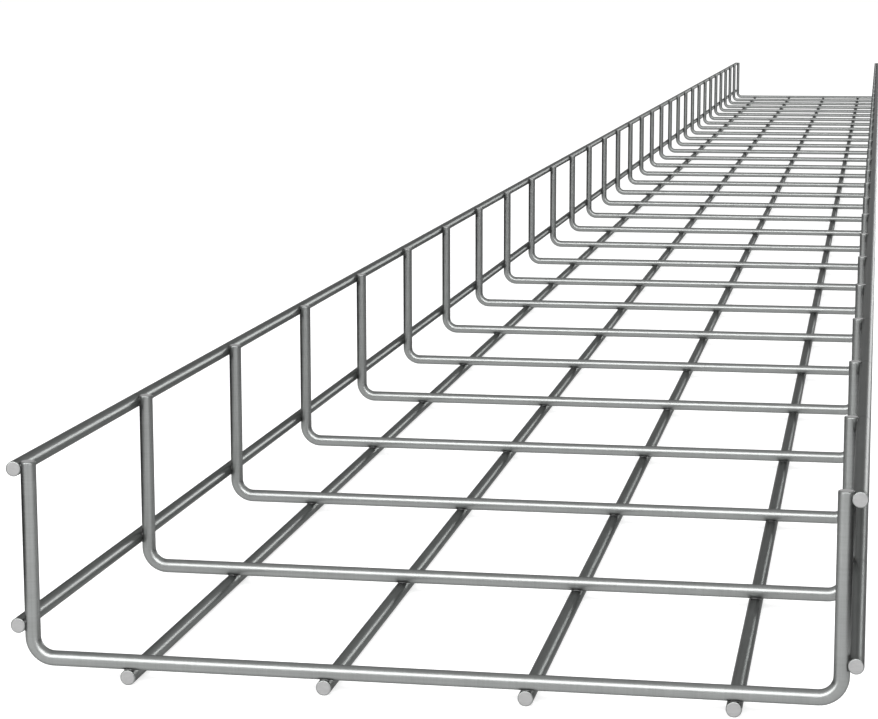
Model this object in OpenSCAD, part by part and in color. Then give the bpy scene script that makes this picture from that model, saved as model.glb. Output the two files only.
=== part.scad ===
// Wire mesh cable basket: a straight length of welded steel wire tray.
// Bent cross wires carry the cables. Long wires run under their floor runs and
// outside their legs, and every crossing is a resistance weld, at which the long
// wire has sunk into a seat in the cross wire.
// Millimetres. Z is up, Y runs along the basket, and the origin is on the ground
// under the middle of the basket.

/* [Basket] */
// Length from wire end to wire end
basket_length = 3000; // [1000:50:3000]
// Width over the legs of the cross wires
basket_width = 204; // [190:1:400]
// Depth from the underside of the cross wires to the top of the rim wires
basket_depth = 52.3; // [35:0.1:110]

/* [Wires] */
// Diameter of every wire
wire_d = 3.9; // [3:0.1:5]
// Number of bent cross wires along the length
cross_wire_count = 32; // [2:1:50]
// Number of long wires under the floor
floor_wire_count = 4; // [2:1:4]
// Distance between neighbouring floor wires
floor_pitch = 50; // [20:1:55]
// Height of the side wires above the centre of the cross wires' floor runs
side_wire_rise = 8.4; // [8:0.1:20]
// Bend radius of the cross wires, at the middle of the wire
bend_r = 5.4; // [3:0.1:5.6]

/* [Welds and cut ends] */
// How far the floor wires have sunk into the cross wires
floor_weld_sink = 0.3; // [0.1:0.05:0.6]
// How far the rim and side wires have sunk into the legs
leg_weld_sink = 0.6; // [0.1:0.05:0.7]
// How far below the top of the rim wires the legs are cut off
leg_trim = 0.2; // [0:0.1:1]
// Radius of the edge round every cut end
end_round = 0.3; // [0.1:0.05:0.6]

/* [Hidden] */
function numbered(stem, count) =
    [for (i = [1:count]) str(stem, i < 10 ? "_0" : "_", i)];

EDGE_NODES = ["rim_wire_left", "rim_wire_right", "side_wire_left", "side_wire_right"];
FLOOR_NODES = numbered("floor_wire", floor_wire_count);
CROSS_NODES = numbered("cross_wire", cross_wire_count);

$fn = 24;
galvanised = [0.62, 0.64, 0.63];
wire_r = wire_d / 2;
leg_x = basket_width / 2 - wire_r;                      // centre of the legs
edge_x = leg_x + wire_d - leg_weld_sink;                // centre of the rim and side wires
floor_wire_z = wire_r;
cross_z = floor_wire_z + wire_d - floor_weld_sink;      // centre of the floor runs
side_wire_z = cross_z + side_wire_rise;
rim_wire_z = cross_z + basket_depth - wire_d;
leg_foot_z = cross_z + bend_r;                          // where a bend ends and its leg begins
leg_top_z = rim_wire_z + wire_r - leg_trim;
cross_pitch = (basket_length - wire_d) / (cross_wire_count - 1);

// A straight piece of wire standing on the origin. Its top is a cut end with a
// rounded edge, and so is its foot unless it grows out of a bend.
module bar(length, cut_foot = true) {
    rim = wire_r - end_round;
    rotate_extrude() {
        square([rim, length]);
        translate([0, cut_foot ? end_round : 0])
            square([wire_r, length - end_round * (cut_foot ? 2 : 1)]);
        translate([rim, length - end_round])
            circle(r = end_round);
        if (cut_foot)
            translate([rim, end_round])
                circle(r = end_round);
    }
}

// A long wire along Y at the given place across the basket.
module long_wire(x, z) {
    translate([x, basket_length / 2, z])
        rotate([90, 0, 0])
            bar(basket_length);
}

// Where the floor wires lie across the basket, evenly about its middle.
function floor_wire_x(i) = (i - (floor_wire_count - 1) / 2) * floor_pitch;

module rim_wire(side) {
    color(galvanised) long_wire(side * edge_x, rim_wire_z);
}

module side_wire(side) {
    color(galvanised) long_wire(side * edge_x, side_wire_z);
}

module floor_wire(i) {
    color(galvanised) long_wire(floor_wire_x(i), floor_wire_z);
}

// One leg with the bend under it, on the right-hand side.
module leg_and_bend() {
    translate([leg_x, 0, leg_foot_z])
        bar(leg_top_z - leg_foot_z, cut_foot = false);
    translate([leg_x - bend_r, 0, leg_foot_z])
        rotate([-90, 0, 0])
            rotate_extrude(angle = 90)
                translate([bend_r, 0])
                    circle(r = wire_r);
}

// One wire bent to a U: a floor run between two legs.
module bent_wire() {
    run = 2 * (leg_x - bend_r);
    translate([-run / 2, 0, cross_z])
        rotate([0, 90, 0])
            cylinder(h = run, r = wire_r);
    leg_and_bend();
    mirror([1, 0, 0])
        leg_and_bend();
}

// The stretch of a long wire that lies in its seat in a cross wire.
module seat(x, z) {
    translate([x, wire_d, z])
        rotate([90, 0, 0])
            cylinder(h = 2 * wire_d, r = wire_r);
}

module cross_wire(i) {
    color(galvanised)
        translate([0, (i - (cross_wire_count - 1) / 2) * cross_pitch, 0])
            difference() {
                bent_wire();
                for (k = [0:floor_wire_count - 1])
                    seat(floor_wire_x(k), floor_wire_z);
                for (side = [-1, 1], z = [side_wire_z, rim_wire_z])
                    seat(side * edge_x, z);
            }
}

rim_wire(-1);  // rim_wire_left
rim_wire(1);  // rim_wire_right
side_wire(-1);  // side_wire_left
side_wire(1);  // side_wire_right
for (i = [0:floor_wire_count - 1])
    floor_wire(i);
for (i = [0:cross_wire_count - 1])
    cross_wire(i);
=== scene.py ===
"""Wire mesh cable basket: the wires as drawn, bent, cut and welded, with a galvanised finish.

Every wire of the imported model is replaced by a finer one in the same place. Metres, Z up,
Y along the basket.
"""

import math
import random

import bmesh
import bpy
from mathutils import Matrix, Vector


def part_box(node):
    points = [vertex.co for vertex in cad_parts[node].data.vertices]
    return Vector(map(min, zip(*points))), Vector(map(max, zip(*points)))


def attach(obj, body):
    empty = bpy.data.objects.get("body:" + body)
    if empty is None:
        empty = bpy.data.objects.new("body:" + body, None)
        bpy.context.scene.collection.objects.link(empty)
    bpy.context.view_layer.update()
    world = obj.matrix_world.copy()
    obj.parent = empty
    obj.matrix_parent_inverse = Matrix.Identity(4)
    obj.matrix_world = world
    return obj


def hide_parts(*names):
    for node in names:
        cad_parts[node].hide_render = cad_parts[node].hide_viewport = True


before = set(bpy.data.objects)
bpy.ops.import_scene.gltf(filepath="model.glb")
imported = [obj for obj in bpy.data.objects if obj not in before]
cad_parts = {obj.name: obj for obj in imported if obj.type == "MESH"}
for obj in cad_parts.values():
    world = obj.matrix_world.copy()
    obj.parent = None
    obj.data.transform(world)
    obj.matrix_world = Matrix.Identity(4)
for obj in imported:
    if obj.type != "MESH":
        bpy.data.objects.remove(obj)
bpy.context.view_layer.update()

MM = 0.001
SIDES = 32                  # faces round a wire
BEND_R = 5.4 * MM           # at the middle of the wire
BEND_STEPS = 12
END_ROUND = 0.3 * MM        # edge of a cut end
END_RING = 0.8 * MM         # the first ring after a cut end
HEAT_AND_SHADE_REACH = 3.2 * MM       # how far from a weld the zinc is darkened: partly weld heat tint, partly painted shade where the wires touch

LONG_WIRES = sorted(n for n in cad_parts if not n.startswith("cross_wire"))
CROSS_WIRES = sorted(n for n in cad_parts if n.startswith("cross_wire"))
FLOOR_WIRES = [n for n in LONG_WIRES if n.startswith("floor_wire")]


# ---------------------------------------------------------------- places

def middle(node):
    """The centre of a packed wire's box."""
    low, high = (Vector(c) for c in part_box(node))
    return (low + high) / 2


rim_low, rim_high = (Vector(c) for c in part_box("rim_wire_left"))
WIRE_R = (rim_high.z - rim_low.z) / 2
CROSS_Y = [middle(n).y for n in CROSS_WIRES]
FLOOR_X = [middle(n).x for n in FLOOR_WIRES]
RIM_Z = middle("rim_wire_left").z
SIDE_Z = middle("side_wire_left").z
FLOOR_Z = middle(FLOOR_WIRES[0]).z
u_low, u_high = (Vector(c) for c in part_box(CROSS_WIRES[0]))
LEG_X = u_high.x - WIRE_R
LEG_TOP = u_high.z
CROSS_Z = u_low.z + WIRE_R


# ---------------------------------------------------------------- shader nodes

class Number:
    """A shader value that adds, multiplies and compares as a number does."""

    def __init__(self, tree, socket):
        self.tree = tree
        self.socket = socket

    def _math(self, operation, *values):
        node = self.tree.nodes.new("ShaderNodeMath")
        node.operation = operation
        for place, value in zip(node.inputs, values):
            if isinstance(value, Number):
                self.tree.links.new(value.socket, place)
            else:
                place.default_value = value
        return Number(self.tree, node.outputs[0])

    def __add__(self, other):
        return self._math("ADD", self, other)

    def __radd__(self, other):
        return self._math("ADD", other, self)

    def __sub__(self, other):
        return self._math("SUBTRACT", self, other)

    def __rsub__(self, other):
        return self._math("SUBTRACT", other, self)

    def __mul__(self, other):
        return self._math("MULTIPLY", self, other)

    def __rmul__(self, other):
        return self._math("MULTIPLY", other, self)

    def larger(self, other):
        return self._math("MAXIMUM", self, other)

    def clamped(self):
        return self._math("MINIMUM", self._math("MAXIMUM", self, 0.0), 1.0)


class Shader:
    """The node tree of a material or of the world."""

    def __init__(self, owner):
        owner.use_nodes = True
        self.owner = owner
        self.tree = owner.node_tree
        self.tree.nodes.clear()

    def node(self, kind, settings=(), sockets=()):
        made = self.tree.nodes.new(kind)
        for name, value in dict(settings).items():
            setattr(made, name, value)
        for name, value in dict(sockets).items():
            if isinstance(value, Number):
                value = value.socket
            if isinstance(value, bpy.types.NodeSocket):
                self.tree.links.new(value, made.inputs[name])
            else:
                made.inputs[name].default_value = value
        return made

    def number(self, kind, settings=(), sockets=(), output=0):
        return Number(self.tree, self.node(kind, settings, sockets).outputs[output])

    def noise(self, place, scale, detail=2.0, roughness=0.5):
        """Noise about 0, from -0.5 to 0.5, on a place stretched by a scale in each direction."""
        stretched = self.node(
            "ShaderNodeMapping", {}, {"Vector": place, "Scale": scale}
        ).outputs["Vector"]
        grain = self.number(
            "ShaderNodeTexNoise",
            {"noise_dimensions": "3D"},
            {"Vector": stretched, "Scale": 1.0, "Detail": detail, "Roughness": roughness},
            "Fac",
        )
        return grain - 0.5

    def blend(self, factor, first, second):
        made = self.node("ShaderNodeMix", {"data_type": "RGBA"}, {"Factor": factor})
        for place, colour in ((made.inputs[6], first), (made.inputs[7], second)):
            if isinstance(colour, bpy.types.NodeSocket):
                self.tree.links.new(colour, place)
            else:
                place.default_value = colour
        return made.outputs[2]

    def surface(self, shader):
        kind = "World" if isinstance(self.owner, bpy.types.World) else "Material"
        out = self.node(f"ShaderNodeOutput{kind}")
        self.tree.links.new(shader.outputs[0], out.inputs["Surface"])


def grey(value, green=0.0):
    """A grey with a faint green cast."""
    return (value, value * (1 + green), value * (1 + green * 0.5), 1.0)


def galvanised_zinc():
    """Drawn wire with a bright zinc coat: die lines along it, fine ripple across, near-black at the
    welds, partly weld heat tint and partly painted shade where the wires touch.
    """
    shade = Shader(bpy.data.materials.new("galvanised_zinc"))
    straight = shade.node(
        "ShaderNodeAttribute", {"attribute_name": "straight_place"}
    ).outputs["Vector"]
    heat_and_shade = shade.number(
        "ShaderNodeAttribute", {"attribute_name": "weld_heat_and_shade"}, output="Fac"
    )
    die_lines = shade.noise(straight, (1500.0, 1500.0, 5.0), 3.0, 0.6)
    ripple = shade.noise(straight, (90.0, 90.0, 1700.0), 2.0, 0.6)
    bloom = shade.noise(straight, (210.0, 210.0, 150.0), 3.0, 0.55)
    patches = shade.noise(straight, (40.0, 40.0, 11.0), 2.0, 0.5)
    # near-black zinc at each weld: partly weld heat tint, partly painted shade where the wires touch
    # and hide each other
    scorch_and_shade = (heat_and_shade * (heat_and_shade * 0.85 + bloom * 0.6)).clamped()

    brightness = (0.5 + die_lines * 0.45 + ripple * 0.35 + bloom * 0.25 + patches * 0.3).clamped()
    zinc = shade.blend(brightness, grey(0.155, 0.03), grey(0.30, 0.03))
    colour = shade.blend(scorch_and_shade, zinc, (0.075, 0.073, 0.069, 1.0))
    roughness = (0.36 + die_lines * 0.08 + ripple * 0.08 + bloom * 0.06 + scorch_and_shade * 0.18).clamped()
    relief = die_lines * 0.45 + ripple * 0.55 + bloom * 0.5
    bump = shade.node(
        "ShaderNodeBump", {}, {"Height": relief, "Strength": 0.22, "Distance": 0.00004}
    )
    metal = shade.node("ShaderNodeBsdfPrincipled", {}, {
        "Base Color": colour,
        "Metallic": 1.0,
        "Roughness": roughness,
        "Specular Tint": (0.25, 0.25, 0.25, 1.0),
        "Normal": bump.outputs["Normal"],
    })
    shade.surface(metal)
    return shade.owner


def cut_steel():
    """The bare face that the shears leave, with fine marks across it."""
    shade = Shader(bpy.data.materials.new("cut_steel"))
    place = shade.node("ShaderNodeTexCoord").outputs["Object"]
    marks = shade.noise(place, (350.0, 350.0, 2600.0), 2.0, 0.6)
    bloom = shade.noise(place, (600.0, 600.0, 600.0), 3.0, 0.55)
    steel = shade.blend((0.5 + marks * 0.7 + bloom * 0.5).clamped(), grey(0.26), grey(0.38))
    bump = shade.node(
        "ShaderNodeBump", {}, {"Height": marks, "Strength": 0.3, "Distance": 0.00003}
    )
    metal = shade.node("ShaderNodeBsdfPrincipled", {}, {
        "Base Color": steel,
        "Metallic": 1.0,
        "Roughness": 0.42 + marks * 0.12,
        "Normal": bump.outputs["Normal"],
    })
    shade.surface(metal)
    return shade.owner


def weld_metal():
    """Squeezed-out weld metal under a thin zinc film, dark grey: partly burnt weld metal, partly
    painted shade in the crevices where the wires meet.
    """
    shade = Shader(bpy.data.materials.new("weld_metal"))
    place = shade.node("ShaderNodeTexCoord").outputs["Object"]
    scale = shade.noise(place, (900.0, 900.0, 900.0), 3.0, 0.6)
    stain = shade.noise(place, (160.0, 160.0, 160.0), 2.0, 0.5)
    colour = shade.blend((0.5 + scale * 0.9 + stain * 0.6).clamped(), grey(0.05), grey(0.15))
    bump = shade.node(
        "ShaderNodeBump", {}, {"Height": scale, "Strength": 0.5, "Distance": 0.00005}
    )
    metal = shade.node("ShaderNodeBsdfPrincipled", {}, {
        "Base Color": colour,
        "Metallic": 1.0,
        "Roughness": 0.5 + scale * 0.2,
        "Normal": bump.outputs["Normal"],
    })
    shade.surface(metal)
    return shade.owner


# ---------------------------------------------------------------- wires

class Wire:
    """A round wire grown ring by ring from a cut end.

    The frame is where the last ring lies: the wire grows along its Z and bends towards its X.
    Each vertex keeps its place on the straight wire and how near to a weld it is, times how
    much this wire darkens there: partly weld heat tint, partly painted shade where the wires touch.
    """

    def __init__(self, start, heat_and_shade_weight):
        self.bm = bmesh.new()
        self.heat_and_shade_weight = heat_and_shade_weight
        self.straight = self.bm.verts.layers.float_vector.new("straight_place")
        # per-vertex weight of the weld darkening: partly weld heat tint, partly painted shade at the
        # contacts
        self.heat_and_shade = self.bm.verts.layers.float.new("weld_heat_and_shade")
        self.frame = start.copy()
        self.along = 0.0
        self.ring = bmesh.ops.create_circle(
            self.bm, cap_ends=True, segments=SIDES, radius=WIRE_R
        )["verts"]
        for v in self.ring:
            v[self.straight] = v.co
        bmesh.ops.transform(self.bm, matrix=start, verts=self.ring)
        self.first = set(self.ring)

    def _end_edges(self):
        ring = set(self.ring)
        return [e for e in self.bm.edges if e.verts[0] in ring and e.verts[1] in ring]

    def _note(self, length, heat_and_shade):
        self.along += length
        for v in self.ring:
            v[self.straight] = (v[self.straight].x, v[self.straight].y, self.along)
            v[self.heat_and_shade] = heat_and_shade * self.heat_and_shade_weight

    def go(self, length, heat_and_shade=0.0):
        grown = bmesh.ops.extrude_edge_only(self.bm, edges=self._end_edges())["geom"]
        self.ring = [g for g in grown if isinstance(g, bmesh.types.BMVert)]
        ahead = self.frame.col[2].xyz * length
        bmesh.ops.translate(self.bm, verts=self.ring, vec=ahead)
        self.frame = Matrix.Translation(ahead) @ self.frame
        self._note(length, heat_and_shade)

    def bend(self, angle, radius, heat_and_shade=0.0):
        centre = self.frame @ Vector((radius, 0, 0))
        axis = self.frame.col[1].xyz
        step = angle / BEND_STEPS
        turn = (
            Matrix.Translation(centre)
            @ Matrix.Rotation(step, 4, axis)
            @ Matrix.Translation(-centre)
        )
        for k in range(BEND_STEPS):
            spun = bmesh.ops.spin(
                self.bm, geom=self._end_edges(), cent=centre, axis=axis, angle=step, steps=1
            )["geom_last"]
            self.ring = [g for g in spun if isinstance(g, bmesh.types.BMVert)]
            self.frame = turn @ self.frame
            self._note(radius * step, heat_and_shade * (1 - (k + 1) / BEND_STEPS))

    def pass_welds(self, welds, end):
        """Grow straight to an end, with rings before, at and after each weld on the way."""
        begun = self.along
        stops = {}
        for w in welds:
            for place, heat_and_shade in ((w - HEAT_AND_SHADE_REACH, 0.0), (w, 1.0), (w + HEAT_AND_SHADE_REACH, 0.0)):
                if begun + END_RING < place < end - END_RING:
                    stops[round(place, 9)] = heat_and_shade
        nearest = min((abs(end - w) for w in welds), default=1.0)
        stops[round(end, 9)] = max(0.0, 1 - nearest / HEAT_AND_SHADE_REACH)
        for place in sorted(stops):
            self.go(place - self.along, stops[place])

    def finish(self):
        """Close the wire, round both cut ends and keep their faces flat."""
        bm = self.bm
        last = set(self.ring)
        bmesh.ops.contextual_create(bm, geom=self._end_edges())
        ends = [f for f in bm.faces if len(f.verts) == SIDES]
        rims = [e for f in ends for e in f.edges]
        bmesh.ops.bevel(
            bm, geom=rims, offset=END_ROUND, offset_type="OFFSET", segments=4, profile=0.5,
            affect="EDGES", material=-1,
        )
        ends = [f for f in bm.faces if len(f.verts) == SIDES]
        bmesh.ops.inset_individual(bm, faces=ends, thickness=0.12 * MM)
        for f in bm.faces:
            f.smooth = True
        ends = [f for f in bm.faces if len(f.verts) == SIDES]
        for f in ends:
            f.material_index = 1
            for e in f.edges:
                for g in e.link_faces:
                    g.material_index = 1
        bmesh.ops.recalc_face_normals(bm, faces=bm.faces)
        return bm


def placed(x, y, z, ahead, inside):
    """A frame at a point, with Z along the wire and X towards the inside of its bends."""
    ahead, inside = Vector(ahead), Vector(inside)
    turned = Matrix((inside, ahead.cross(inside), ahead)).transposed().to_4x4()
    return Matrix.Translation((x, y, z)) @ turned


def add_piece(name, bm, materials, node=None):
    """Make the mesh a piece of the basket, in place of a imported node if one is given."""
    mesh = bpy.data.meshes.new(name)
    bm.to_mesh(mesh)
    bm.free()
    for material in materials:
        mesh.materials.append(material)
    piece = bpy.data.objects.new(name, mesh)
    bpy.context.scene.collection.objects.link(piece)
    if node:
        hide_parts(node)
    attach(piece, "root")
    return piece


def add_long_wire(node, materials):
    """A straight wire over the whole length, 4 microns short so that rounding stays inside the box."""
    low, high = (Vector(c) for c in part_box(node))
    x, z = (low.x + high.x) / 2, (low.z + high.z) / 2
    wire = Wire(placed(x, low.y, z, (0, 1, 0), (0, 0, 1)), heat_and_shade_weight=0.6)
    length = high.y - low.y - 0.004 * MM
    wire.go(END_RING, 0.8)
    wire.pass_welds([y - low.y for y in CROSS_Y], length - END_RING)
    wire.go(END_RING, 0.8)
    add_piece(f"drawn_{node}", wire.finish(), materials, node)


def add_cross_wire(node, materials):
    """A wire bent to a U: down one leg, along the floor run and up the other leg."""
    y = middle(node).y
    wire = Wire(placed(-LEG_X, y, LEG_TOP, (0, 0, -1), (1, 0, 0)), heat_and_shade_weight=0.3)
    leg_end = LEG_TOP - CROSS_Z - BEND_R
    leg_welds = [LEG_TOP - RIM_Z, LEG_TOP - SIDE_Z]
    run_start = leg_end + BEND_R * math.pi / 2
    run = 2 * (LEG_X - BEND_R)
    wire.go(END_RING, 0.8)
    wire.pass_welds(leg_welds, leg_end)
    wire.bend(math.pi / 2, BEND_R, 0.3)
    wire.pass_welds([run_start + x + run / 2 for x in FLOOR_X], run_start + run)
    wire.bend(math.pi / 2, BEND_R)
    top = wire.along + leg_end
    wire.pass_welds([top - w for w in leg_welds], top - END_RING)
    wire.go(END_RING, 0.8)
    add_piece(f"bent_{node}", wire.finish(), materials, node)


def add_weld_row(name, place, facing, reach, material, seed):
    """The metal squeezed out of the 32 welds along one long wire: thin collars in the gaps."""
    vary = random.Random(seed)
    bm = bmesh.new()
    turn = Vector((0, 0, 1)).rotation_difference(Vector(facing)).to_matrix().to_4x4()
    for y in CROSS_Y:
        collar = bmesh.ops.create_cone(
            bm, cap_ends=True, segments=14, radius1=reach, radius2=reach, depth=0.62 * MM
        )["verts"]
        stretch = Matrix.Diagonal(
            (vary.uniform(0.93, 1.05), vary.uniform(0.93, 1.05), vary.uniform(0.85, 1.1), 1)
        )
        for v in collar:
            v.co.xy *= vary.uniform(0.95, 1.04)
        spin = Matrix.Rotation(vary.uniform(0, math.pi), 4, "Z")
        at = Matrix.Translation((place[0], y, place[1]))
        bmesh.ops.transform(bm, matrix=at @ turn @ spin @ stretch, verts=collar)
    rims = [e for e in bm.edges if sorted(len(f.verts) for f in e.link_faces) == [4, 14]]
    bmesh.ops.bevel(
        bm, geom=rims, offset=0.16 * MM, offset_type="OFFSET", segments=1, profile=0.5,
        affect="EDGES", material=-1,
    )
    for f in bm.faces:
        f.smooth = True
    bmesh.ops.recalc_face_normals(bm, faces=bm.faces)
    add_piece(name, bm, [material])


# ---------------------------------------------------------------- studio

def add_floor():
    """A pale floor. The white it adds is seen directly, mirrored and through glass."""
    bm = bmesh.new()
    bmesh.ops.create_grid(bm, x_segments=1, y_segments=1, size=45.0)
    mesh = bpy.data.meshes.new("studio_floor")
    bm.to_mesh(mesh)
    bm.free()
    shade = Shader(bpy.data.materials.new("studio_floor"))
    path = shade.node("ShaderNodeLightPath")
    seen = Number(shade.tree, path.outputs["Is Camera Ray"])
    for kind in ("Is Glossy Ray", "Is Transmission Ray"):
        seen = seen.larger(Number(shade.tree, path.outputs[kind]))
    shade.surface(shade.node("ShaderNodeBsdfPrincipled", {}, {
        "Base Color": (0.50, 0.50, 0.50, 1.0),
        "Roughness": 1.0,
        "Specular IOR Level": 0.0,
        "Emission Color": (1.0, 1.0, 1.0, 1.0),
        "Emission Strength": seen * 0.62,
    }))
    mesh.materials.append(shade.owner)
    floor = bpy.data.objects.new("studio_floor", mesh)
    bpy.context.scene.collection.objects.link(floor)


def add_flag(name, x, height):
    """A low black card beside the basket: the wires mirror it as a dark edge, nothing else sees it."""
    bm = bmesh.new()
    card = bmesh.ops.create_grid(bm, x_segments=1, y_segments=1, size=0.5)["verts"]
    bmesh.ops.rotate(bm, verts=card, cent=(0, 0, 0), matrix=Matrix.Rotation(math.pi / 2, 3, "Y"))
    bmesh.ops.scale(bm, verts=card, vec=(1, 3.2, height))
    bmesh.ops.translate(bm, verts=card, vec=(x, 0.03, height / 2 + 0.001))
    mesh = bpy.data.meshes.new(name)
    bm.to_mesh(mesh)
    bm.free()
    shade = Shader(bpy.data.materials.new(name))
    shade.surface(shade.node("ShaderNodeBsdfDiffuse", {}, {"Color": (0.02, 0.02, 0.02, 1.0)}))
    mesh.materials.append(shade.owner)
    flag = bpy.data.objects.new(name, mesh)
    flag.visible_camera = False
    flag.visible_diffuse = False
    flag.visible_shadow = False
    bpy.context.scene.collection.objects.link(flag)


def add_world():
    """An evenly lit, plain grey room."""
    world = bpy.data.worlds.new("studio_room")
    shade = Shader(world)
    room = shade.node("ShaderNodeBackground", {}, {"Color": (1.0, 1.0, 1.0, 1.0), "Strength": 0.80})
    shade.surface(room)
    bpy.context.scene.world = world


def add_softbox(name, place, target, size, radiance):
    """A rectangular soft light that shines evenly from its whole face."""
    lamp = bpy.data.lights.new(name, "AREA")
    lamp.shape = "RECTANGLE"
    lamp.size, lamp.size_y = size
    lamp.energy = radiance * math.pi * size[0] * size[1]
    box = bpy.data.objects.new(name, lamp)
    box.location = place
    aim = Vector(target) - Vector(place)
    box.rotation_euler = aim.to_track_quat("-Z", "Y").to_euler()
    box.visible_camera = False
    bpy.context.scene.collection.objects.link(box)


def add_camera():
    """The camera at one end of the basket, a little above it, turned slightly left."""
    lens = bpy.data.cameras.new("camera")
    lens.sensor_width = 36.0
    lens.lens = 96.885
    lens.clip_start = 0.05
    lens.clip_end = 200.0
    camera = bpy.data.objects.new("camera", lens)
    bpy.context.scene.collection.objects.link(camera)
    turned_left, tilted, rolled = (math.radians(a) for a in (10.4954, -9.0464, -0.1255))
    camera.matrix_world = (
        Matrix.Translation((0.104917, -2.044618, 0.172490))
        @ Matrix.Rotation(turned_left, 4, "Z")
        @ Matrix.Rotation(math.pi / 2 + tilted, 4, "X")
        @ Matrix.Rotation(rolled, 4, "Z")
    )
    bpy.context.scene.camera = camera


# ---------------------------------------------------------------- the basket

add_camera()

wire_finish = [galvanised_zinc(), cut_steel()]
for node in LONG_WIRES:
    add_long_wire(node, wire_finish)
for node in CROSS_WIRES:
    add_cross_wire(node, wire_finish)

# weld collars in the crevices at each crossing; their dark grey is partly burnt weld metal, partly
# painted shade there
burnt_and_shade = weld_metal()
for number, node in enumerate(LONG_WIRES):
    where = middle(node)
    if node in FLOOR_WIRES:
        contact = (FLOOR_Z + CROSS_Z) / 2
        add_weld_row(f"welds_{node}", (where.x, contact), (0, 0, 1), 1.42 * MM, burnt_and_shade, number)
    else:
        side = 1 if where.x > 0 else -1
        contact = side * (LEG_X + abs(where.x)) / 2
        add_weld_row(f"welds_{node}", (contact, where.z), (1, 0, 0), 1.72 * MM, burnt_and_shade, number)

add_floor()
add_flag("left_flag", -0.165, 0.06)
add_flag("right_flag", 0.165, 0.048)
add_world()
add_softbox("front_softbox", (0.0, -3.1, 1.45), (0.0, -0.6, 0.1), (3.0, 1.3), 6.0)
add_softbox("left_softbox", (-1.7, -3.1, 0.75), (0.0, -1.2, 0.03), (0.6, 1.5), 8.0)
add_softbox("right_softbox", (1.9, -3.2, 0.6), (0.0, -1.3, 0.03), (0.4, 1.2), 6.0)
add_softbox("back_softbox", (2.1, 6.0, 0.95), (0.0, 0.0, 0.05), (1.5, 1.8), 17.0)

bpy.context.scene.view_settings.view_transform = "Standard"
